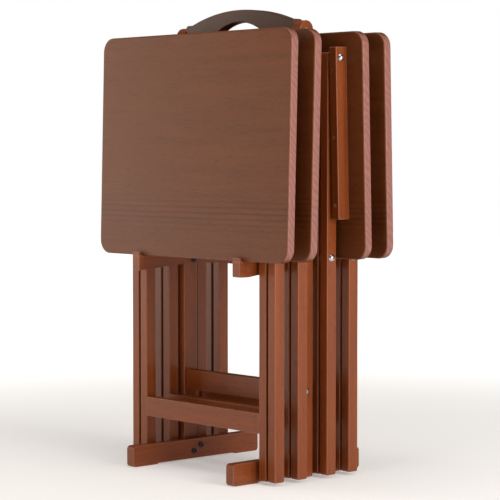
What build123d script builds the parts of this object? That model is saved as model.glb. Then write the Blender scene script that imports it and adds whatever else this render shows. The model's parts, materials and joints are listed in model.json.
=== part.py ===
"""A carrying stand with four folded tray tables hung on it, each built from its real pieces."""

import math
import os

from build123d import *

os.makedirs("parts", exist_ok=True)

# ---- driving dimensions, millimetres, floor at z = 0, tables hang towards -Y and +Y ----

# trays
tray_w = 483.0
tray_h = 375.0
tray_t = 16.0
tray_corner_r = 24.0
tray_edge_r = 3.0
tray_lean = 1.5
tray_above_pivot = 43.0

# pivots of a folded table
pivot_z = 695.4
scissor_z = 366.5
pivot_to_tray = 13.0

# legs
leg_w = 17.0
leg_d = 21.0
leg_bottom_z = 5.0
leg_top_z = pivot_z + 10.0
leg_top_r = 5.0
leg_bottom_r = 3.0
wood_edge_r = 1.5
outer_leg_x = 167.0
inner_leg_x = 145.0
outer_leg_face = outer_leg_x + leg_w
inner_leg_face = inner_leg_x + leg_w

# rails of the inner frame
lower_bar_h = 34.0
lower_bar_t = 16.0
lower_bar_z = 99.0
lower_bar_inset = 0.5
top_bar_r = 8.0
top_bar_z = scissor_z + 322.0
top_bar_tenon = 8.0

# cleats and catch blocks under a tray
cleat_x = 188.0
cleat_w = 16.0
cleat_d = 24.0
cleat_above = 18.0
cleat_below = 265.0
catch_x = 118.0
catch_w = 16.0
catch_len = 40.0
catch_from_pivot = 247.0
catch_drop = 19.5
catch_clearance = 0.3

# fasteners
bolt_r = 3.0
running_gap = 0.05
dome_r = 6.4
dome_h = 4.2
pivot_bolt_depth = 14.0
pivot_washer_r = 8.0
scissor_washer_r = 7.0
nut_r = 6.0
nut_flange_t = 1.3
nut_barrel_r = 4.0
nut_barrel_len = 8.0
screw_r = 1.8
screw_head_r = 3.8
countersink_half_angle = 41.0
screw_into_tray = 10.0
cleat_screws_below = (18.0, 130.0, 242.0)
catch_screw_offset = 14.0
socket_head_r = 4.6
socket_head_h = 3.0
socket_key_r = 2.2
socket_key_depth = 1.8

# where the tables hang: (number, side, distance of the legs' centre from the middle)
outer_row_y = 84.0
inner_row_y = 33.0
tables = ((1, -1, outer_row_y), (2, -1, inner_row_y), (3, 1, inner_row_y), (4, 1, outer_row_y))

# stand
side_x = 120.5
side_t = 17.5
post_t = 20.0
post_d = 30.0
post_bottom_z = 2.0
post_top_z = 757.5
foot_l = 288.0
foot_h = 36.0
foot_end_r = 6.0
foot_pad_l = 54.0
foot_relief = 2.0
arm_l = 260.0
arm_bottom_z = 338.5
arm_top_z = 363.2
lip_h = 6.8
lip_flat = 1.5
lip_run = 7.2
arch_inset = 20.0
arch_rise = 8.0
arm_end_r = 3.0
rail_h = 35.0
rail_t = 18.0
rail_z = 140.5
rail_bolt_z = 145.0
handle_t = 20.0
handle_bottom_z = 716.0
handle_crown_z = 782.0
shoulder_x = 121.5
shoulder_z = 761.0
shoulder_r = 6.0
grip_half_w = 62.0
grip_spring_z = 741.0
grip_crown_z = 761.0
grip_bottom_z = 727.0
grip_corner_r = 6.0
handle_bolt_z = 739.0
side_bolt_step_y = 8.0
foot_bolt_z = 19.5
foot_bolt_step_z = 4.8
arm_bolt_z = 354.6
arm_bolt_step_z = 2.6
post_bolt_len = 50.0
side_bolt_len = 26.0

post_x = side_x + side_t
post_face = post_x + post_t


def keep(piece, name):
    """Labels a finished piece and writes it as its own STEP file."""
    piece.part.label = name
    export_step(piece.part, f"parts/{name}.step")


def across(x, y, z, side):
    """Plane at a point, whose normal points out along X on that side."""
    return Plane(origin=(side * x, y, z), x_dir=(0, 1, 0), z_dir=(side, 0, 0))


def leg_plane(row_side, row_y):
    """Plane of a folded frame: local y is up, local z points away from the stand."""
    return Plane(origin=(0, row_side * row_y, 0), x_dir=(-row_side, 0, 0), z_dir=(0, row_side, 0))


def tray_plane(row_side, row_y):
    """Plane through a tray's pivot line, leaning with the tray; local z is its outer normal."""
    lean = math.radians(tray_lean)
    normal = (0, row_side * math.cos(lean), math.sin(lean))
    return Plane(origin=(0, row_side * row_y, pivot_z), x_dir=(-row_side, 0, 0), z_dir=normal)


# ---- one folding table ----


def make_tray(name, plane):
    """The tray board: rounded corners, softened edges and pilot holes for its screws."""
    middle = tray_above_pivot - tray_h / 2
    board = plane.offset(pivot_to_tray)
    with BuildPart() as tray:
        with BuildSketch(board):
            with Locations((0, middle)):
                RectangleRounded(tray_w, tray_h, tray_corner_r)
        extrude(amount=tray_t)
        layers = tray.faces().sort_by(Axis(board.origin, board.z_dir))
        fillet(layers[0].edges() + layers[-1].edges(), tray_edge_r)
        with BuildSketch(board):
            with Locations(*screw_places()):
                Circle(screw_r)
        extrude(amount=screw_into_tray, mode=Mode.SUBTRACT)
    keep(tray, name)


def screw_places():
    """Centres of all the screws under a tray, in the tray's plane."""
    places = []
    for x_side in (-1, 1):
        for below in cleat_screws_below:
            places.append((x_side * (cleat_x + cleat_w / 2), -below))
        for step in (-catch_screw_offset, catch_screw_offset):
            places.append((x_side * (catch_x + catch_w / 2), -catch_from_pivot + step))
    return places


def make_cleat(name, plane, x_side):
    """The wooden cleat that carries a leg's pivot bolt, with countersunk screw holes."""
    centre_x = x_side * (cleat_x + cleat_w / 2)
    middle = (cleat_above - cleat_below) / 2
    inner = plane.offset(pivot_to_tray - cleat_d)
    with BuildPart() as cleat:
        with BuildSketch(inner):
            with Locations((centre_x, middle)):
                Rectangle(cleat_w, cleat_above + cleat_below)
        extrude(amount=cleat_d)
        fillet(cleat.faces().sort_by(Axis(plane.origin, plane.z_dir))[0].edges(), wood_edge_r)
        for below in cleat_screws_below:
            with Locations(Plane(inner.location * Location((centre_x, -below, 0), (180, 0, 0)))):
                CounterSinkHole(radius=screw_r, counter_sink_radius=screw_head_r, depth=cleat_d)
        with BuildSketch(Plane(plane.location * Location((centre_x, 0, 0), (0, 90, 0)))):
            Circle(bolt_r + running_gap)
        extrude(amount=cleat_w, both=True, mode=Mode.SUBTRACT)
    keep(cleat, name)


def make_catches(name, plane):
    """Two notched blocks that hold the inner frame's top bar when the table stands open."""
    inner = plane.offset(pivot_to_tray - cleat_d)
    with BuildPart() as catches:
        for x_side in (-1, 1):
            centre_x = x_side * (catch_x + catch_w / 2)
            with BuildSketch(inner):
                with Locations((centre_x, -catch_from_pivot)):
                    Rectangle(catch_w, catch_len)
            extrude(amount=cleat_d)
            notch_z = pivot_to_tray - catch_drop
            notch = Location((centre_x, -catch_from_pivot, notch_z), (0, 90, 0))
            with BuildSketch(Plane(plane.location * notch)):
                Circle(top_bar_r + catch_clearance)
            extrude(amount=catch_w, both=True, mode=Mode.SUBTRACT)
            for step in (-catch_screw_offset, catch_screw_offset):
                place = Location((centre_x, -catch_from_pivot + step, 0), (180, 0, 0))
                with Locations(Plane(inner.location * place)):
                    CounterSinkHole(radius=screw_r, counter_sink_radius=screw_head_r, depth=cleat_d)
    keep(catches, name)


def make_screws(name, plane):
    """The countersunk wood screws that hold the cleats and the catch blocks."""
    head = plane.offset(pivot_to_tray - cleat_d)
    head_r = screw_head_r - running_gap
    head_h = (head_r - screw_r) / math.tan(math.radians(countersink_half_angle))
    with BuildPart() as screws:
        with BuildSketch(head):
            with Locations(*screw_places()):
                Circle(screw_r)
        extrude(amount=cleat_d + screw_into_tray)
        for place in screw_places():
            with Locations(Plane(head.location * Location((place[0], place[1], head_h / 2)))):
                Cone(head_r, screw_r, head_h)
    keep(screws, name)


def make_leg(name, plane, x_centre, holes):
    """A square leg with rounded top corners; holes are (height, radius, from, to) across it."""
    with BuildPart() as leg:
        with BuildSketch(plane):
            with Locations((x_centre, (leg_bottom_z + leg_top_z) / 2)):
                Rectangle(leg_w, leg_top_z - leg_bottom_z)
        extrude(amount=leg_d / 2, both=True)
        fillet(leg.edges().filter_by(Axis.X).group_by(Axis.Z)[-1], leg_top_r)
        fillet(leg.edges().filter_by(Axis.X).group_by(Axis.Z)[0], leg_bottom_r)
        fillet(leg.edges().filter_by(Axis.Z), wood_edge_r)
        for height, radius, start, end in holes:
            bore = Plane(origin=(start, plane.origin.Y, height), x_dir=(0, 1, 0), z_dir=(1, 0, 0))
            with BuildSketch(bore):
                Circle(radius)
            extrude(amount=end - start, mode=Mode.SUBTRACT)
    keep(leg, name)


def make_outer_legs(prefix, plane, row_side):
    """The outer pair: pivoted to the cleats at the top and to the inner legs half way down."""
    for label, x_side in (("left", -1), ("right", 1)):
        tip = x_side * (outer_leg_face - pivot_bolt_depth)
        face = x_side * outer_leg_face
        back = x_side * outer_leg_x
        pivot = (pivot_z, bolt_r, min(tip, face), max(tip, face))
        scissor = (scissor_z, bolt_r, min(back, face), max(back, face))
        local_x = -row_side * x_side * (outer_leg_x + leg_w / 2)
        make_leg(f"{prefix}_outer_leg_{label}", plane, local_x, (pivot, scissor))


def make_inner_legs(prefix, plane, row_side):
    """The inner pair: a stepped hole for the scissor bolt and its barrel nut."""
    for label, x_side in (("left", -1), ("right", 1)):
        face = x_side * inner_leg_face
        back = x_side * inner_leg_x
        step = x_side * (inner_leg_x + nut_barrel_len)
        shank = (scissor_z, bolt_r + running_gap, min(back, face), max(back, face))
        barrel = (scissor_z, nut_barrel_r + running_gap, min(back, step), max(back, step))
        tenon = x_side * (inner_leg_x + top_bar_tenon)
        socket = (top_bar_z, top_bar_r, min(back, tenon), max(back, tenon))
        local_x = -row_side * x_side * (inner_leg_x + leg_w / 2)
        make_leg(f"{prefix}_inner_leg_{label}", plane, local_x, (shank, barrel, socket))


def make_bars(prefix, plane):
    """The inner frame's flat lower bar and round top bar."""
    outer_face = leg_d / 2 - lower_bar_inset
    with BuildPart() as lower_bar:
        with BuildSketch(plane.offset(outer_face - lower_bar_t)):
            with Locations((0, lower_bar_z)):
                Rectangle(2 * inner_leg_x, lower_bar_h)
        extrude(amount=lower_bar_t)
        fillet(lower_bar.edges().filter_by(Axis.X), wood_edge_r)
    keep(lower_bar, f"{prefix}_lower_bar")
    start = -(inner_leg_x + top_bar_tenon)
    with BuildPart() as top_bar:
        with BuildSketch(Plane(origin=(start, plane.origin.Y, top_bar_z), z_dir=(1, 0, 0))):
            Circle(top_bar_r)
        extrude(amount=-2 * start)
    keep(top_bar, f"{prefix}_top_bar")


def add_disc(face_x, y, z, side, radius, length):
    """Adds a round bar on a face across X; a negative length runs inwards."""
    with BuildSketch(across(face_x, y, z, side)) as disc:
        Circle(radius)
    extrude(disc.sketch, amount=length)


def add_dome_bolt(face_x, y, z, side, length):
    """Adds a dome head on a face, and its shank running inwards."""
    dome_ball_r = (dome_r**2 + dome_h**2) / (2 * dome_h)
    with BuildSketch(Plane(origin=(side * face_x, y, z), x_dir=(side, 0, 0), z_dir=(0, -side, 0))) as dome:
        with BuildLine():
            Line((0, 0), (dome_h, 0))
            RadiusArc((dome_h, 0), (0, dome_r), -dome_ball_r)
            Line((0, dome_r), (0, 0))
        make_face()
    revolve(dome.sketch, axis=Axis((side * face_x, y, z), (1, 0, 0)))
    add_disc(face_x, y, z, side, bolt_r, -length)


def add_ring(x_from, x_to, y, z, side, radius):
    """Adds a plain washer round a bolt, between two distances from the middle."""
    with BuildSketch(across(x_from + running_gap, y, z, side)) as ring:
        Circle(radius)
        Circle(bolt_r, mode=Mode.SUBTRACT)
    extrude(ring.sketch, amount=x_to - x_from - 2 * running_gap)


def make_leg_bolts(prefix, y):
    """Pivot and scissor bolts with their washers and barrel nuts."""
    with BuildPart() as bolts:
        for side in (-1, 1):
            cleat_face = cleat_x + cleat_w
            pivot_len = cleat_face - outer_leg_face + pivot_bolt_depth + running_gap
            add_dome_bolt(cleat_face + running_gap, y, pivot_z, side, pivot_len)
            add_ring(outer_leg_face, cleat_x, y, pivot_z, side, pivot_washer_r)
            nut_start = inner_leg_x + nut_barrel_len / 2
            add_dome_bolt(outer_leg_face, y, scissor_z, side, outer_leg_face - nut_start)
            add_ring(inner_leg_face, outer_leg_x, y, scissor_z, side, scissor_washer_r)
            add_disc(inner_leg_x - running_gap, y, scissor_z, side, nut_r, -nut_flange_t)
            add_disc(inner_leg_x - running_gap, y, scissor_z, side, nut_barrel_r, nut_barrel_len)
    keep(bolts, f"{prefix}_leg_bolts")


def make_table(number, row_side, row_y):
    """Every piece of one folded table, in its place on the stand."""
    prefix = f"table_{number}"
    frame = leg_plane(row_side, row_y)
    lean = tray_plane(row_side, row_y)
    make_tray(f"{prefix}_tray", lean)
    for label, x_side in (("left", -1), ("right", 1)):
        make_cleat(f"{prefix}_cleat_{label}", lean, -row_side * x_side)
    make_catches(f"{prefix}_catch_blocks", lean)
    make_screws(f"{prefix}_tray_screws", lean)
    make_outer_legs(prefix, frame, row_side)
    make_inner_legs(prefix, frame, row_side)
    make_bars(prefix, frame)
    make_leg_bolts(prefix, row_side * row_y)


for number, row_side, row_y in tables:
    make_table(number, row_side, row_y)


# ---- the carrying stand ----


def side_plane(side):
    """Plane on the inner face of a foot or an arm: local x is world Y, local y is up."""
    return Plane(origin=(side * side_x, 0, 0), x_dir=(0, 1, 0), z_dir=(1, 0, 0))


def drill(x, y, z, side, radius, length):
    """Cuts a round hole inwards from a face across X."""
    with BuildSketch(across(x, y, z, side)) as hole:
        Circle(radius)
    extrude(hole.sketch, amount=-length, mode=Mode.SUBTRACT)


def side_bolt_places(middle_z, step_z):
    """The two diagonal bolts that join a foot or an arm to its post."""
    return ((-side_bolt_step_y, middle_z - step_z), (side_bolt_step_y, middle_z + step_z))


def make_foot(name, side):
    """A foot board: rounded ends and a shallow relief under its middle."""
    with BuildPart() as foot:
        with BuildSketch(side_plane(side)):
            with Locations((0, foot_h / 2)):
                Rectangle(foot_l, foot_h)
            with Locations((0, foot_relief / 2)):
                Rectangle(foot_l - 2 * foot_pad_l, foot_relief, mode=Mode.SUBTRACT)
        extrude(amount=side * side_t)
        ends = foot.edges().filter_by(Axis.X).group_by(Axis.Y)
        fillet(ends[0] + ends[-1], foot_end_r)
        for y, z in side_bolt_places(foot_bolt_z, foot_bolt_step_z):
            drill(post_x, y, z, side, bolt_r, side_t)
    keep(foot, name)


def make_arm(name, side):
    """An arm that carries the trays' lower edges: flat on top and arched below."""
    half = arm_l / 2
    arch_half = half - arch_inset
    with BuildPart() as arm:
        with BuildSketch(side_plane(side)):
            with BuildLine():
                ThreePointArc((-arch_half, arm_bottom_z), (0, arm_bottom_z + arch_rise), (arch_half, arm_bottom_z))
                Line((arch_half, arm_bottom_z), (half, arm_bottom_z))
                Line((half, arm_bottom_z), (half, arm_top_z))
                Line((half, arm_top_z), (-half, arm_top_z))
                Line((-half, arm_top_z), (-half, arm_bottom_z))
                Line((-half, arm_bottom_z), (-arch_half, arm_bottom_z))
            make_face()
        extrude(amount=side * side_t)
        lower_ends = arm.edges().filter_by(Axis.X).group_by(Axis.Z)[0]
        fillet(lower_ends.group_by(Axis.Y)[0] + lower_ends.group_by(Axis.Y)[-1], arm_end_r)
        for y, z in side_bolt_places(arm_bolt_z, arm_bolt_step_z):
            drill(post_x, y, z, side, bolt_r, side_t)
    keep(arm, name)


def make_lips():
    """The four sloping lips on the arm ends, which keep the outer trays on the arms."""
    half = arm_l / 2
    lip_z = arm_top_z + lip_h
    with BuildPart() as lips:
        for side in (-1, 1):
            for end in (-1, 1):
                with BuildSketch(side_plane(side)):
                    with BuildLine():
                        Line((end * half, arm_top_z), (end * half, lip_z))
                        Line((end * half, lip_z), (end * (half - lip_flat), lip_z))
                        Line((end * (half - lip_flat), lip_z), (end * (half - lip_flat - lip_run), arm_top_z))
                        Line((end * (half - lip_flat - lip_run), arm_top_z), (end * half, arm_top_z))
                    make_face()
                extrude(amount=side * side_t)
    keep(lips, "stand_arm_lips")


def make_post(name, side):
    """An upright with a half-round top, bolted outside its foot and arm."""
    with BuildPart() as post:
        with BuildSketch(Plane(origin=(side * post_x, 0, 0), x_dir=(0, 1, 0), z_dir=(1, 0, 0))):
            with Locations((0, (post_bottom_z + post_top_z - post_d / 2) / 2)):
                Rectangle(post_d, post_top_z - post_d / 2 - post_bottom_z)
            with Locations((0, post_top_z - post_d / 2)):
                Circle(post_d / 2)
        extrude(amount=side * post_t)
        fillet(post.faces().filter_by(Axis.X).edges(), wood_edge_r)
        for z in (rail_bolt_z, handle_bolt_z):
            drill(post_face, 0, z, side, bolt_r, post_t)
        for middle_z, step_z in ((foot_bolt_z, foot_bolt_step_z), (arm_bolt_z, arm_bolt_step_z)):
            for y, z in side_bolt_places(middle_z, step_z):
                drill(side_x + side_bolt_len, y, z, side, bolt_r, side_bolt_len)
    keep(post, name)


def make_rail():
    """The low rail between the posts."""
    with BuildPart() as rail:
        with BuildSketch(Plane.XZ.offset(-rail_t / 2)):
            with Locations((0, rail_z)):
                Rectangle(2 * post_x, rail_h)
        extrude(amount=rail_t)
        fillet(rail.edges().filter_by(Axis.X), wood_edge_r)
        for side in (-1, 1):
            drill(post_x, 0, rail_bolt_z, side, bolt_r, post_bolt_len - post_t)
    keep(rail, "stand_lower_rail")


def make_handle():
    """The arched carrying board with its grip slot."""
    side_z = shoulder_z - shoulder_r
    with BuildPart() as handle:
        with BuildSketch(Plane.XZ.offset(-handle_t / 2)):
            with BuildLine():
                ThreePointArc((-shoulder_x, shoulder_z), (0, handle_crown_z), (shoulder_x, shoulder_z))
                Line((shoulder_x, shoulder_z), (post_x - shoulder_r, shoulder_z))
                RadiusArc((post_x - shoulder_r, shoulder_z), (post_x, side_z), shoulder_r)
                Line((post_x, side_z), (post_x, handle_bottom_z))
                Line((post_x, handle_bottom_z), (-post_x, handle_bottom_z))
                Line((-post_x, handle_bottom_z), (-post_x, side_z))
                RadiusArc((-post_x, side_z), (shoulder_r - post_x, shoulder_z), shoulder_r)
                Line((shoulder_r - post_x, shoulder_z), (-shoulder_x, shoulder_z))
            make_face()
            with BuildSketch(Plane.XY, mode=Mode.SUBTRACT) as grip:
                with BuildLine():
                    ThreePointArc((-grip_half_w, grip_spring_z), (0, grip_crown_z), (grip_half_w, grip_spring_z))
                    Line((grip_half_w, grip_spring_z), (grip_half_w, grip_bottom_z))
                    Line((grip_half_w, grip_bottom_z), (-grip_half_w, grip_bottom_z))
                    Line((-grip_half_w, grip_bottom_z), (-grip_half_w, grip_spring_z))
                make_face()
                fillet(grip.vertices(), grip_corner_r)
        extrude(amount=handle_t)
        fillet(handle.faces().filter_by(Axis.Y).edges(), wood_edge_r)
        for side in (-1, 1):
            drill(post_x, 0, handle_bolt_z, side, bolt_r, post_bolt_len - post_t)
    keep(handle, "stand_handle")


def make_post_bolts():
    """Dome head bolts through both posts into the ends of the rail and of the handle."""
    with BuildPart() as bolts:
        for z in (rail_bolt_z, handle_bolt_z):
            for side in (-1, 1):
                add_dome_bolt(post_face, 0, z, side, post_bolt_len)
    keep(bolts, "stand_post_bolts")


def make_side_bolts(name, middle_z, step_z):
    """Black socket head bolts that hold both feet, or both arms, to the posts."""
    with BuildPart() as bolts:
        for side in (-1, 1):
            for y, z in side_bolt_places(middle_z, step_z):
                add_disc(side_x, y, z, side, bolt_r, side_bolt_len)
                add_disc(side_x, y, z, side, socket_head_r, -socket_head_h)
                with BuildSketch(across(side_x - socket_head_h, y, z, side)):
                    RegularPolygon(socket_key_r, 6)
                extrude(amount=socket_key_depth, mode=Mode.SUBTRACT)
    keep(bolts, name)


for label, side in (("left", -1), ("right", 1)):
    make_foot(f"stand_foot_{label}", side)
    make_arm(f"stand_arm_{label}", side)
    make_post(f"stand_post_{label}", side)
make_lips()
make_rail()
make_handle()
make_side_bolts("stand_foot_bolts", foot_bolt_z, foot_bolt_step_z)
make_side_bolts("stand_arm_bolts", arm_bolt_z, arm_bolt_step_z)
make_post_bolts()
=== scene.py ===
import bpy
import bmesh
import json
import math
import numpy as np
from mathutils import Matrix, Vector


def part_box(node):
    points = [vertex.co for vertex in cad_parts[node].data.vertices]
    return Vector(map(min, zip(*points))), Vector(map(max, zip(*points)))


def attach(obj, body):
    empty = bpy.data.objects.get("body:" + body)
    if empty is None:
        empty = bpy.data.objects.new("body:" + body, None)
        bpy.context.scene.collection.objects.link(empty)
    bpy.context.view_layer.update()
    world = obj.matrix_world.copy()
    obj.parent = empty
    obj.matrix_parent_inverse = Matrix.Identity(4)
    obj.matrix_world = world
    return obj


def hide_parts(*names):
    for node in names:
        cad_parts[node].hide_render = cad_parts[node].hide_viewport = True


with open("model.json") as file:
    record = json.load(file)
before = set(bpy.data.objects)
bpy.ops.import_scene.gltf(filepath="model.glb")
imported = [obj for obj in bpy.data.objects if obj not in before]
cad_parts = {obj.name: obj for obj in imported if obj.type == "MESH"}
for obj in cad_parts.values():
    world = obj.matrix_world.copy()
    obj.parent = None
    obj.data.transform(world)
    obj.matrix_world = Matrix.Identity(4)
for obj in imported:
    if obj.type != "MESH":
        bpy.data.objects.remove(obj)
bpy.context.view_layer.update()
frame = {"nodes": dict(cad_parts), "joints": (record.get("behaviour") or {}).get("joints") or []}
nodes = frame["nodes"]
print("frame loaded:", len(nodes), "pieces")


def addNode(tree, kind, **settings):
    node = tree.nodes.new(kind)
    for key, value in settings.items():
        setattr(node, key, value)
    return node


def feed(tree, socket, value):
    if isinstance(value, bpy.types.NodeSocket):
        tree.links.new(value, socket)
    else:
        socket.default_value = value


def maths(tree, operation, first, second=None, third=None, clamp=False):
    node = addNode(tree, "ShaderNodeMath", operation=operation, use_clamp=clamp)
    for socket, value in zip(node.inputs, (first, second, third)):
        if value is not None:
            feed(tree, socket, value)
    return node.outputs[0]


def vectorMaths(tree, operation, first, second=None):
    node = addNode(tree, "ShaderNodeVectorMath", operation=operation)
    for socket, value in zip(node.inputs, (first, second)):
        if value is not None:
            feed(tree, socket, value)
    return node.outputs[0]


def noise(tree, vector, scale, detail=2.0, roughness=0.5, distortion=0.0):
    node = addNode(tree, "ShaderNodeTexNoise", noise_dimensions="3D")
    feed(tree, node.inputs["Vector"], vector)
    node.inputs["Scale"].default_value = scale
    node.inputs["Detail"].default_value = detail
    node.inputs["Roughness"].default_value = roughness
    node.inputs["Distortion"].default_value = distortion
    return node.outputs[0]


def remap(tree, value, low, high, toLow=0.0, toHigh=1.0, smooth=True):
    node = addNode(tree, "ShaderNodeMapRange", clamp=True)
    node.interpolation_type = "SMOOTHSTEP" if smooth else "LINEAR"
    limits = {"Value": value, "From Min": low, "From Max": high, "To Min": toLow, "To Max": toHigh}
    for name, number in limits.items():
        feed(tree, node.inputs[name], number)
    return node.outputs[0]


def blendColour(tree, factor, first, second):
    node = addNode(tree, "ShaderNodeMix", data_type="RGBA")
    feed(tree, node.inputs[0], factor)
    feed(tree, node.inputs[6], first)
    feed(tree, node.inputs[7], second)
    return node.outputs[2]


def newGroup(name, inputs, outputs):
    group = bpy.data.node_groups.new(name, "ShaderNodeTree")
    for label, kind, value in inputs:
        socket = group.interface.new_socket(label, in_out="INPUT", socket_type=kind)
        if value is not None:
            socket.default_value = value
    for label, kind in outputs:
        group.interface.new_socket(label, in_out="OUTPUT", socket_type=kind)
    start = addNode(group, "NodeGroupInput")
    end = addNode(group, "NodeGroupOutput")
    return group, start.outputs, end.inputs


grainNumbers = {
    "streakAlong": 5.0, "streakAcross": 75.0,    # broad tone bands, per metre
    "figureAlong": 1.6, "figureAcross": 26.0,    # slow arched figure of flat-sawn boards
    "fibreAlong": 34.0, "fibreAcross": 620.0,    # fine fibres
    "poreAlong": 60.0, "poreAcross": 1150.0,     # short dark pores
    "endLines": 560.0,                           # end grain stripes about 11 mm apart
    "bandLines": 690.0, "bandReach": 0.045,      # growth lines about 9 mm apart, over 45 mm each way
}


def makeGrainGroup():
    # tone = figure bands plus broad streaks plus fibres, each a noise stretched along local X
    group, given, wanted = newGroup(
        "woodGrain",
        (("Place", "NodeSocketVector", None), ("Seed", "NodeSocketFloat", 0.0),
         ("Figure", "NodeSocketFloat", 1.0), ("Contrast", "NodeSocketFloat", 1.0),
         ("Band Height", "NodeSocketFloat", 0.0), ("Band Strength", "NodeSocketFloat", 0.0)),
        (("Tone", "NodeSocketFloat"), ("Pores", "NodeSocketFloat"),
         ("Height", "NodeSocketFloat"), ("End Lines", "NodeSocketFloat")),
    )
    shift = addNode(group, "ShaderNodeCombineXYZ")
    for socket, factor in zip(shift.inputs, (3.17, 1.31, 2.23)):
        feed(group, socket, maths(group, "MULTIPLY", given["Seed"], factor))
    place = vectorMaths(group, "ADD", given["Place"], shift.outputs[0])

    def stretched(along, across):
        return vectorMaths(group, "MULTIPLY", place, (along, across, across))

    n = grainNumbers
    wander = noise(group, stretched(2.2, 7.0), 1.0, 2.0)
    figure = noise(group, stretched(n["figureAlong"], n["figureAcross"]), 1.0, 1.0, 0.4, 0.5)
    rings = maths(group, "MULTIPLY_ADD", figure, 34.0, maths(group, "MULTIPLY", wander, 5.0))
    rings = maths(group, "MULTIPLY_ADD", maths(group, "SINE", rings), 0.5, 0.5)
    rings = maths(group, "POWER", rings, 1.6)
    streaks = noise(group, stretched(n["streakAlong"], n["streakAcross"]), 1.0, 3.0, 0.55)
    fibres = noise(group, stretched(n["fibreAlong"], n["fibreAcross"]), 1.0, 2.0, 0.6)
    tone = maths(group, "MULTIPLY", maths(group, "SUBTRACT", rings, 0.5), given["Figure"])
    tone = maths(group, "MULTIPLY_ADD", tone, 0.42, 0.5)
    tone = maths(group, "ADD", tone, maths(group, "MULTIPLY", maths(group, "SUBTRACT", streaks, 0.5), 1.0))
    tone = maths(group, "ADD", tone, maths(group, "MULTIPLY", maths(group, "SUBTRACT", fibres, 0.5), 0.55))
    tone = maths(group, "MULTIPLY_ADD", maths(group, "SUBTRACT", tone, 0.5), given["Contrast"], 0.5)
    # a band of close growth lines: sine of the height across the grain, strongest at the band's middle
    level = addNode(group, "ShaderNodeSeparateXYZ")
    feed(group, level.inputs[0], given["Place"])
    fromBand = maths(group, "SUBTRACT", level.outputs[2], given["Band Height"])
    lines = maths(group, "MULTIPLY_ADD", fromBand, n["bandLines"], maths(group, "MULTIPLY", wander, 9.0))
    lines = maths(group, "MINIMUM", maths(group, "SINE", lines), 0.0)
    near = remap(group, maths(group, "ABSOLUTE", fromBand), n["bandReach"], 0.0)
    lines = maths(group, "MULTIPLY", maths(group, "MULTIPLY", lines, near), given["Band Strength"])
    tone = maths(group, "ADD", tone, lines)
    pores = noise(group, stretched(n["poreAlong"], n["poreAcross"]), 1.0, 1.0, 0.5)
    pores = remap(group, pores, 0.60, 0.72)
    height = maths(group, "MULTIPLY_ADD", fibres, 0.45, maths(group, "MULTIPLY", rings, 0.25))
    height = maths(group, "SUBTRACT", height, maths(group, "MULTIPLY", pores, 0.35))
    # growth rings cut across at the board's ends: slanted stripes, bent by a slow noise
    slant = maths(group, "MULTIPLY_ADD", level.outputs[2], 0.75, level.outputs[1])
    bend = noise(group, vectorMaths(group, "MULTIPLY", place, (1.0, 30.0, 14.0)), 1.0, 2.0)
    endLines = maths(group, "MULTIPLY_ADD", slant, n["endLines"], maths(group, "MULTIPLY", bend, 30.0))
    endLines = maths(group, "MULTIPLY_ADD", maths(group, "SINE", endLines), 0.5, 0.5)
    feed(group, wanted["End Lines"], endLines)
    feed(group, wanted["Tone"], maths(group, "ADD", tone, 0.0, clamp=True))
    feed(group, wanted["Pores"], pores)
    feed(group, wanted["Height"], height)
    return group


def makeWearGroup():
    # distance to the nearest edge of a box = the middle one of the three distances to its faces
    group, given, wanted = newGroup(
        "edgeWear",
        (("Place", "NodeSocketVector", None), ("Half Size", "NodeSocketVector", None),
         ("Width", "NodeSocketFloat", 0.003)),
        (("Edge", "NodeSocketFloat"), ("End Grain And Sheen", "NodeSocketFloat")),
    )
    inside = vectorMaths(group, "SUBTRACT", given["Half Size"], vectorMaths(group, "ABSOLUTE", given["Place"]))
    parts = addNode(group, "ShaderNodeSeparateXYZ")
    feed(group, parts.inputs[0], inside)
    x, y, z = parts.outputs
    lowest = maths(group, "MINIMUM", maths(group, "MINIMUM", x, y), z)
    highest = maths(group, "MAXIMUM", maths(group, "MAXIMUM", x, y), z)
    total = maths(group, "ADD", maths(group, "ADD", x, y), z)
    middle = maths(group, "SUBTRACT", maths(group, "SUBTRACT", total, lowest), highest)
    patchy = noise(group, vectorMaths(group, "MULTIPLY", given["Place"], (60.0, 60.0, 60.0)), 1.0, 3.0, 0.6)
    reach = maths(group, "MULTIPLY", given["Width"], maths(group, "MULTIPLY_ADD", patchy, 1.4, 0.3))
    edge = maths(group, "SUBTRACT", 1.0, maths(group, "DIVIDE", middle, reach), clamp=True)
    feed(group, wanted["Edge"], edge)
    # the end-face mask, for real end grain and, on trays, a painted reflection, fades out round the corners and
    # stays off the broad faces
    atEnd = remap(group, x, 0.0, 0.014, 1.0, 0.0)
    offFaces = remap(group, maths(group, "MINIMUM", y, z), 0.0002, 0.0016)
    feed(group, wanted["End Grain And Sheen"], maths(group, "MULTIPLY", atEnd, offFaces))
    return group


def makeSheenGroup():
    # roughness = base plus slow smudges plus a trace of the grain
    group, given, wanted = newGroup(
        "satinCoat",
        (("Place", "NodeSocketVector", None), ("Base", "NodeSocketFloat", 0.35), ("Spread", "NodeSocketFloat", 0.1),
         ("Grain", "NodeSocketFloat", 0.5)),
        (("Roughness", "NodeSocketFloat"), ("Orange Peel", "NodeSocketFloat")),
    )
    smudge = noise(group, vectorMaths(group, "MULTIPLY", given["Place"], (9.0, 9.0, 9.0)), 1.0, 3.0, 0.55)
    peel = noise(group, vectorMaths(group, "MULTIPLY", given["Place"], (260.0, 260.0, 260.0)), 1.0, 1.0, 0.4)
    varied = maths(group, "MULTIPLY", maths(group, "SUBTRACT", smudge, 0.5), given["Spread"])
    grainy = maths(group, "MULTIPLY", maths(group, "SUBTRACT", given["Grain"], 0.5), 0.10)
    rough = maths(group, "ADD", maths(group, "ADD", given["Base"], varied), grainy)
    feed(group, wanted["Roughness"], rough)
    feed(group, wanted["Orange Peel"], peel)
    return group


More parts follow.
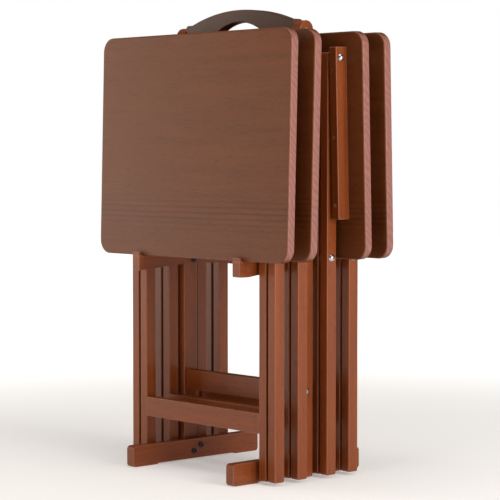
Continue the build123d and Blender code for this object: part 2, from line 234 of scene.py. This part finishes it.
def makeMetalGroup():
    # plated steel: fine scratches stretched along one way, and dull patches
    group, given, wanted = newGroup(
        "platedSteel",
        (("Place", "NodeSocketVector", None), ("Base", "NodeSocketFloat", 0.25)),
        (("Roughness", "NodeSocketFloat"), ("Dull", "NodeSocketFloat"), ("Height", "NodeSocketFloat")),
    )
    dull = noise(group, vectorMaths(group, "MULTIPLY", given["Place"], (420.0, 420.0, 420.0)), 1.0, 3.0, 0.6)
    scratch = noise(group, vectorMaths(group, "MULTIPLY", given["Place"], (2600.0, 500.0, 900.0)), 1.0, 2.0, 0.6)
    rough = maths(group, "ADD", given["Base"], maths(group, "MULTIPLY", maths(group, "SUBTRACT", dull, 0.5), 0.22))
    feed(group, wanted["Roughness"], maths(group, "ADD", rough, maths(group, "MULTIPLY", scratch, 0.06)))
    feed(group, wanted["Dull"], dull)
    feed(group, wanted["Height"], scratch)
    return group


grainGroup = makeGrainGroup()
wearGroup = makeWearGroup()
sheenGroup = makeSheenGroup()
metalGroup = makeMetalGroup()
print("shader groups made")


# walnut stain, linear colours: dark and light run of the grain, pores, worn edge, end grain; the trays' pale pink
# end colour is a painted reflection of the side light laid over the real end grain
trayLook = {
    "dark": (0.085, 0.0210, 0.0045, 1.0), "light": (0.185, 0.0510, 0.0125, 1.0), "pore": (0.035, 0.007, 0.002, 1.0),
    "worn": (0.300, 0.115, 0.060, 1.0), "end": (0.350, 0.160, 0.145, 1.0),
    "wearWidth": 0.0026, "wearAmount": 0.40, "endGrainAndSheenAmount": 0.75, "endContrast": 0.40,
    "figure": 0.30, "contrast": 0.60, "bandHeight": -0.112, "bandStrength": 0.45,
    "roughness": 0.42, "spread": 0.10,
    "specular": 0.32, "coat": 0.05, "coatRoughness": 0.28, "bump": 0.10,
}
legLook = {
    "dark": (0.140, 0.0270, 0.0045, 1.0), "light": (0.285, 0.0640, 0.0085, 1.0), "pore": (0.050, 0.010, 0.003, 1.0),
    "worn": (0.380, 0.150, 0.080, 1.0), "end": (0.180, 0.050, 0.020, 1.0),
    "wearWidth": 0.0022, "wearAmount": 0.40, "endGrainAndSheenAmount": 0.5, "endContrast": 0.35,
    "figure": 0.25, "contrast": 0.75, "bandHeight": 0.0, "bandStrength": 0.0,
    "roughness": 0.40, "spread": 0.10,
    "specular": 0.36, "coat": 0.06, "coatRoughness": 0.25, "bump": 0.10,
}
handleLook = dict(
    legLook, dark=(0.045, 0.016, 0.009, 1.0), light=(0.110, 0.042, 0.024, 1.0), roughness=0.36, coat=0.15,
)
steelLook = {"colour": (0.66, 0.66, 0.68, 1.0), "dull": (0.42, 0.42, 0.44, 1.0), "roughness": 0.24, "bump": 0.05}
blackLook = {"colour": (0.016, 0.016, 0.018, 1.0), "dull": (0.04, 0.04, 0.045, 1.0), "roughness": 0.38, "bump": 0.05}
turns = {"x": (0.0, 0.0, 0.0), "y": (0.0, 0.0, -math.pi / 2), "z": (0.0, math.pi / 2, 0.0)}


def startMaterial(name):
    material = bpy.data.materials.new(name)
    material.use_nodes = True
    tree = material.node_tree
    tree.nodes.clear()
    output = addNode(tree, "ShaderNodeOutputMaterial")
    shader = addNode(tree, "ShaderNodeBsdfPrincipled")
    tree.links.new(shader.outputs[0], output.inputs[0])
    place = addNode(tree, "ShaderNodeTexCoord").outputs["Object"]
    return material, tree, shader, place


def useGroup(tree, group, **values):
    node = addNode(tree, "ShaderNodeGroup", node_tree=group)
    for label, value in values.items():
        feed(tree, node.inputs[label.replace("_", " ")], value)
    return node.outputs


def makeWood(name, look, grain, seed, low, high, lean=0.0, mirror=False):
    # grain runs along the axis named; the box low-high places edge wear and the end-face colour, which is real end
    # grain plus, on trays, a painted reflection
    material, tree, shader, place = startMaterial(name)
    if mirror:
        place = vectorMaths(tree, "ABSOLUTE", place)
    centre = (low + high) / 2
    upright = addNode(tree, "ShaderNodeMapping", vector_type="POINT")
    feed(tree, upright.inputs["Vector"], vectorMaths(tree, "SUBTRACT", place, tuple(centre)))
    upright.inputs["Rotation"].default_value = (lean, 0.0, 0.0)
    turned = addNode(tree, "ShaderNodeMapping", vector_type="POINT")
    feed(tree, turned.inputs["Vector"], upright.outputs[0])
    turned.inputs["Rotation"].default_value = turns[grain]
    half = (high - low) / 2
    order = {"x": (0, 1, 2), "y": (1, 0, 2), "z": (2, 1, 0)}[grain]
    run = turned.outputs[0]
    fibre = useGroup(tree, grainGroup, Place=run, Seed=seed, Figure=look["figure"], Contrast=look["contrast"],
                     Band_Height=look["bandHeight"], Band_Strength=look["bandStrength"])
    wear = useGroup(tree, wearGroup, Place=run, Half_Size=tuple(half[i] for i in order), Width=look["wearWidth"])
    coat = useGroup(tree, sheenGroup, Place=run, Base=look["roughness"], Spread=look["spread"], Grain=fibre["Tone"])
    colour = blendColour(tree, fibre["Tone"], look["dark"], look["light"])
    colour = blendColour(tree, maths(tree, "MULTIPLY", fibre["Pores"], 0.55), colour, look["pore"])
    # end faces: real slanted end-grain stripes over the end colour; on trays that colour is a pale pink painted
    # reflection of the side light
    striped = maths(tree, "MULTIPLY", fibre["End Lines"], look["endContrast"])
    endGrainAndSheenColour = blendColour(tree, striped, look["end"], look["light"])
    colour = blendColour(tree, maths(tree, "MULTIPLY", wear["End Grain And Sheen"], look["endGrainAndSheenAmount"]), colour, endGrainAndSheenColour)
    rubbed = maths(tree, "MULTIPLY", wear["Edge"], look["wearAmount"])
    colour = blendColour(tree, rubbed, colour, look["worn"])
    feed(tree, shader.inputs["Base Color"], colour)
    feed(tree, shader.inputs["Roughness"], coat["Roughness"])
    shader.inputs["Specular IOR Level"].default_value = look["specular"]
    shader.inputs["Coat Weight"].default_value = look["coat"]
    shader.inputs["Coat Roughness"].default_value = look["coatRoughness"]
    height = maths(tree, "MULTIPLY_ADD", coat["Orange Peel"], 0.15, fibre["Height"])
    bump = addNode(tree, "ShaderNodeBump")
    bump.inputs["Strength"].default_value = look["bump"]
    bump.inputs["Distance"].default_value = 0.0006
    feed(tree, bump.inputs["Height"], height)
    feed(tree, shader.inputs["Normal"], bump.outputs[0])
    return material


def makeSteel(name, look):
    material, tree, shader, place = startMaterial(name)
    plate = useGroup(tree, metalGroup, Place=place, Base=look["roughness"])
    feed(tree, shader.inputs["Base Color"], blendColour(tree, plate["Dull"], look["colour"], look["dull"]))
    feed(tree, shader.inputs["Roughness"], plate["Roughness"])
    shader.inputs["Metallic"].default_value = 1.0 if look is steelLook else 0.4
    bump = addNode(tree, "ShaderNodeBump")
    bump.inputs["Strength"].default_value = look["bump"]
    bump.inputs["Distance"].default_value = 0.0002
    feed(tree, bump.inputs["Height"], plate["Height"])
    feed(tree, shader.inputs["Normal"], bump.outputs[0])
    return material


def dress(node, material):
    mesh = nodes[node].data
    mesh.materials.clear()
    mesh.materials.append(material)


trayLean = math.radians(1.5)
catchBlockWide = 0.016
seedSteps = {"table": 7.0, "piece": 1.37, "standFirst": 41.0, "standPiece": 2.11}
pieceGrain = {
    "tray": "x", "cleat_left": "z", "cleat_right": "z", "catch_blocks": "z",
    "outer_leg_left": "z", "outer_leg_right": "z", "inner_leg_left": "z", "inner_leg_right": "z",
    "lower_bar": "x", "top_bar": "x",
}
leaning = ("tray", "cleat_left", "cleat_right", "catch_blocks")


def uprightBox(low, high, angle):
    # a tilted box's bounds are (a cos + b sin, a sin + b cos); solved back for a and b in Y and Z
    centre, size = (low + high) / 2, high - low
    c, s = math.cos(angle), math.sin(angle)
    spread = c * c - s * s
    deep = (size.y * c - size.z * s) / spread
    tall = (size.z * c - size.y * s) / spread
    half = Vector((size.x, deep, tall)) / 2
    return centre - half, centre + half


def dressTable(number):
    side = -1 if number < 3 else 1
    for index, (piece, grain) in enumerate(pieceGrain.items()):
        name = f"table_{number}_{piece}"
        low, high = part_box(name)
        lean = 0.0
        mirror = piece == "catch_blocks"    # two blocks share one node, either side of the middle
        if mirror:
            low.x = high.x - catchBlockWide
        if piece in leaning:
            lean = -side * trayLean
            low, high = uprightBox(low, high, trayLean)
        look = trayLook if piece == "tray" else legLook
        seed = seedSteps["table"] * number + seedSteps["piece"] * index
        dress(name, makeWood(name, look, grain, seed, low, high, lean, mirror))
    for piece in ("tray_screws", "leg_bolts"):
        dress(f"table_{number}_{piece}", brightSteel)


standGrain = {
    "foot_left": "y", "foot_right": "y", "arm_left": "y", "arm_right": "y",
    "post_left": "z", "post_right": "z", "lower_rail": "x", "handle": "x", "arm_lips": "y",
}
brightSteel = makeSteel("brightSteel", steelLook)
blackSteel = makeSteel("blackSteel", blackLook)
for number in (1, 2, 3, 4):
    dressTable(number)
for index, (piece, grain) in enumerate(standGrain.items()):
    name = f"stand_{piece}"
    low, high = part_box(name)
    look = handleLook if piece == "handle" else legLook
    seed = seedSteps["standFirst"] + seedSteps["standPiece"] * index
    dress(name, makeWood(name, look, grain, seed, low, high))
for piece, material in (("foot_bolts", blackSteel), ("arm_bolts", blackSteel), ("post_bolts", brightSteel)):
    dress(f"stand_{piece}", material)
print("materials on", len(nodes), "pieces")


boltSizes = {
    "domeR": 0.0064, "domeH": 0.0042, "shankR": 0.003, "socketR": 0.0022, "socketDepth": 0.0019,
    "pivotHead": 0.20405, "pivotEnd": 0.170, "pivotWasher": (0.18405, 0.18795, 0.008),
    "scissorHead": 0.184, "scissorEnd": 0.149, "scissorWasher": (0.16205, 0.16695, 0.007),
    "nutFlange": (0.14365, 0.14495, 0.006), "nutBarrel": (0.14495, 0.15295, 0.004),
    "postHead": 0.158, "postEnd": 0.108, "segments": 48,
}


def latheAlongX(profile, side, y, z, hexRows=0):
    # ring i lies at profile x with radius r; the first rings follow a hexagon, r times cos 30 over cos of the angle
    # from the nearest flat's middle; each ring joins the next, and both ends close on the axis
    n = boltSizes["segments"]
    along, radius = np.array(profile).T
    turn = np.arange(n) * 2 * np.pi / n
    flat = np.cos(np.pi / 6) / np.cos(np.mod(turn, np.pi / 3) - np.pi / 6)
    reach = radius[:, None] * np.ones(n)[None, :]
    reach[:hexRows] *= flat[None, :]
    x = np.broadcast_to(side * along[:, None], reach.shape)
    points = np.stack([x, y + reach * np.cos(turn), z + reach * np.sin(turn)], axis=2)
    ring = np.arange(len(along) - 1)[:, None] * n
    here, following = np.arange(n)[None, :], (np.arange(n)[None, :] + 1) % n
    faces = np.stack([ring + here, ring + following, ring + n + following, ring + n + here], axis=2).reshape(-1, 4)
    return points.reshape(-1, 3), faces if side < 0 else faces[:, ::-1]


def domeBolt(head, end, side, y, z):
    # socket floor, socket wall, dome arc from its rim to the seat, underside, shank and end
    b = boltSizes
    ball = (b["domeR"] ** 2 + b["domeH"] ** 2) / (2 * b["domeH"])
    radii = np.linspace(b["socketR"] * 1.12, b["domeR"], 12)
    arc = head + b["domeH"] - ball + np.sqrt(ball ** 2 - radii ** 2)
    floor = arc[0] - b["socketDepth"]
    rows = [(floor, 0.0), (floor, b["socketR"]), (arc[0], b["socketR"])]
    rows += list(zip(arc, radii)) + [(head, b["domeR"]), (head, b["shankR"]), (end, b["shankR"]), (end, 0.0)]
    return latheAlongX(rows, side, y, z, 3)


def plainRing(start, stop, outer, inner, side, y, z):
    rows = [(stop, inner), (stop, outer), (start, outer), (start, inner), (stop, inner)]
    return latheAlongX(rows, side, y, z)


def makeBoltPiece(name, shapes, body, node):
    offset, points, faces = 0, [], []
    for shapePoints, shapeFaces in shapes:
        points.append(shapePoints)
        faces.append(shapeFaces + offset)
        offset += len(shapePoints)
    mesh = bpy.data.meshes.new(name)
    mesh.from_pydata(np.concatenate(points).tolist(), [], np.concatenate(faces).tolist())
    shape = bmesh.new()
    shape.from_mesh(mesh)
    bmesh.ops.remove_doubles(shape, verts=shape.verts, dist=1e-6)
    bmesh.ops.recalc_face_normals(shape, faces=shape.faces)
    shape.to_mesh(mesh)
    shape.free()
    mesh.shade_smooth()
    mesh.set_sharp_from_angle(angle=math.radians(35.0))
    mesh.materials.append(brightSteel)
    piece = bpy.data.objects.new(name, mesh)
    bpy.context.scene.collection.objects.link(piece)
    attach(piece, body)
    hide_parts(node)


joints = {joint["name"]: joint for joint in frame["joints"]}


def makeLegBolts(number):
    b = boltSizes
    pivotY, pivotZ = joints[f"table_{number}_tray_tilt"]["pos_m"][1:]
    crossY, crossZ = joints[f"table_{number}_leg_scissor"]["pos_m"][1:]
    shapes = []
    for side in (-1, 1):
        shapes.append(domeBolt(b["pivotHead"], b["pivotEnd"], side, pivotY, pivotZ))
        shapes.append(plainRing(*b["pivotWasher"], b["shankR"], side, pivotY, pivotZ))
        shapes.append(domeBolt(b["scissorHead"], b["scissorEnd"], side, crossY, crossZ))
        shapes.append(plainRing(*b["scissorWasher"], b["shankR"], side, crossY, crossZ))
        for start, stop, outer in (b["nutFlange"], b["nutBarrel"]):
            shapes.append(plainRing(start, stop, outer, 0.0, side, crossY, crossZ))
    makeBoltPiece(f"table_{number}_bolt_set", shapes, f"table_{number}_outer_frame", f"table_{number}_leg_bolts")


def makePostBolts():
    b = boltSizes
    low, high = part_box("stand_post_bolts")
    shapes = []
    for z in (low.z + b["domeR"], high.z - b["domeR"]):
        for side in (-1, 1):
            shapes.append(domeBolt(b["postHead"], b["postEnd"], side, 0.0, z))
    makeBoltPiece("stand_post_bolt_set", shapes, "stand", "stand_post_bolts")


for number in (1, 2, 3, 4):
    makeLegBolts(number)
makePostBolts()
print("bolts made")


floorLook = {
    "size": 14.0, "cells": 8, "drop": 0.0004, "colour": (0.86, 0.86, 0.86, 1.0),
    "fadeFrom": 0.5, "fadeTo": 2.4, "glow": 0.30,
}


def makeFloor():
    # a flat square grid of cells, a hair below the feet; it glows more with distance, into the white backdrop
    half = floorLook["size"] / 2
    cells = floorLook["cells"]
    steps = np.linspace(-half, half, cells + 1)
    across, along = np.meshgrid(steps, steps)
    points = np.stack([across.ravel(), along.ravel(), np.full(across.size, -floorLook["drop"])], axis=1)
    row = np.arange(cells)
    corner = (row[:, None] * (cells + 1) + row[None, :]).ravel()
    faces = np.stack([corner, corner + 1, corner + cells + 2, corner + cells + 1], axis=1)
    mesh = bpy.data.meshes.new("studioFloor")
    mesh.from_pydata(points.tolist(), [], faces.tolist())
    mesh.update()
    floor = bpy.data.objects.new("studioFloor", mesh)
    bpy.context.scene.collection.objects.link(floor)
    material, tree, shader, place = startMaterial("studioFloor")
    shader.inputs["Base Color"].default_value = floorLook["colour"]
    shader.inputs["Roughness"].default_value = 0.9
    shader.inputs["Specular IOR Level"].default_value = 0.1
    shader.inputs["Emission Color"].default_value = (1.0, 1.0, 1.0, 1.0)
    length = addNode(tree, "ShaderNodeVectorMath", operation="LENGTH")
    feed(tree, length.inputs[0], place)
    fade = remap(tree, length.outputs["Value"], floorLook["fadeFrom"], floorLook["fadeTo"], floorLook["glow"], 1.0)
    feed(tree, shader.inputs["Emission Strength"], fade)
    mesh.materials.append(material)


def makeLight(name, place, target, size, power, colour=(1.0, 1.0, 1.0)):
    data = bpy.data.lights.new(name, "AREA")
    data.shape = "RECTANGLE"
    data.size, data.size_y = size
    data.energy = power
    data.color = colour
    lamp = bpy.data.objects.new(name, data)
    lamp.location = place
    lamp.rotation_euler = (Vector(target) - Vector(place)).to_track_quat("-Z", "Y").to_euler()
    bpy.context.scene.collection.objects.link(lamp)


def makeWorld(seen, lighting):
    world = bpy.data.worlds.new("studio")
    world.use_nodes = True
    tree = world.node_tree
    tree.nodes.clear()
    output = addNode(tree, "ShaderNodeOutputWorld")
    backdrop = addNode(tree, "ShaderNodeBackground")
    backdrop.inputs["Color"].default_value = (1.0, 1.0, 1.0, 1.0)
    path = addNode(tree, "ShaderNodeLightPath")
    strength = remap(tree, path.outputs["Is Camera Ray"], 0.0, 1.0, lighting, seen, False)
    feed(tree, backdrop.inputs["Strength"], strength)
    tree.links.new(backdrop.outputs[0], output.inputs[0])
    bpy.context.scene.world = world


studio = {"seen": 1.0, "lighting": 0.10}
makeFloor()
makeWorld(studio["seen"], studio["lighting"])
makeLight("sideSoftbox", (2.8, 0.2, 1.0), (0.1, 0.0, 0.4), (1.4, 1.8), 58.0, (1.0, 0.94, 0.88))
makeLight("leftSoftbox", (-2.4, -1.3, 0.8), (-0.2, -0.1, 0.5), (0.9, 1.6), 17.0, (1.0, 0.85, 0.70))
makeLight("frontSoftbox", (0.5, -3.0, 1.0), (0.0, 0.0, 0.4), (1.6, 1.6), 22.0, (1.0, 0.93, 0.84))
makeLight("topSoftbox", (0.2, -0.2, 2.6), (0.0, 0.0, 0.3), (2.0, 2.0), 28.0, (1.0, 0.94, 0.86))

cameraSet = {
    "place": (2.46932, -2.20622, 0.54584), "turn": 48.006, "down": 2.976,    # metres, degrees
    "lens": 139.53, "sensor": 36.0, "near": 0.05, "far": 60.0,
}
lensData = bpy.data.cameras.new("camera")
lensData.lens = cameraSet["lens"]
lensData.sensor_width = cameraSet["sensor"]
lensData.clip_start = cameraSet["near"]
lensData.clip_end = cameraSet["far"]
camera = bpy.data.objects.new("camera", lensData)
camera.location = cameraSet["place"]
camera.rotation_euler = (math.radians(90.0 - cameraSet["down"]), 0.0, math.radians(cameraSet["turn"]))
bpy.context.scene.collection.objects.link(camera)
bpy.context.scene.camera = camera
bpy.context.scene.view_settings.view_transform = "Standard"
print("studio ready")
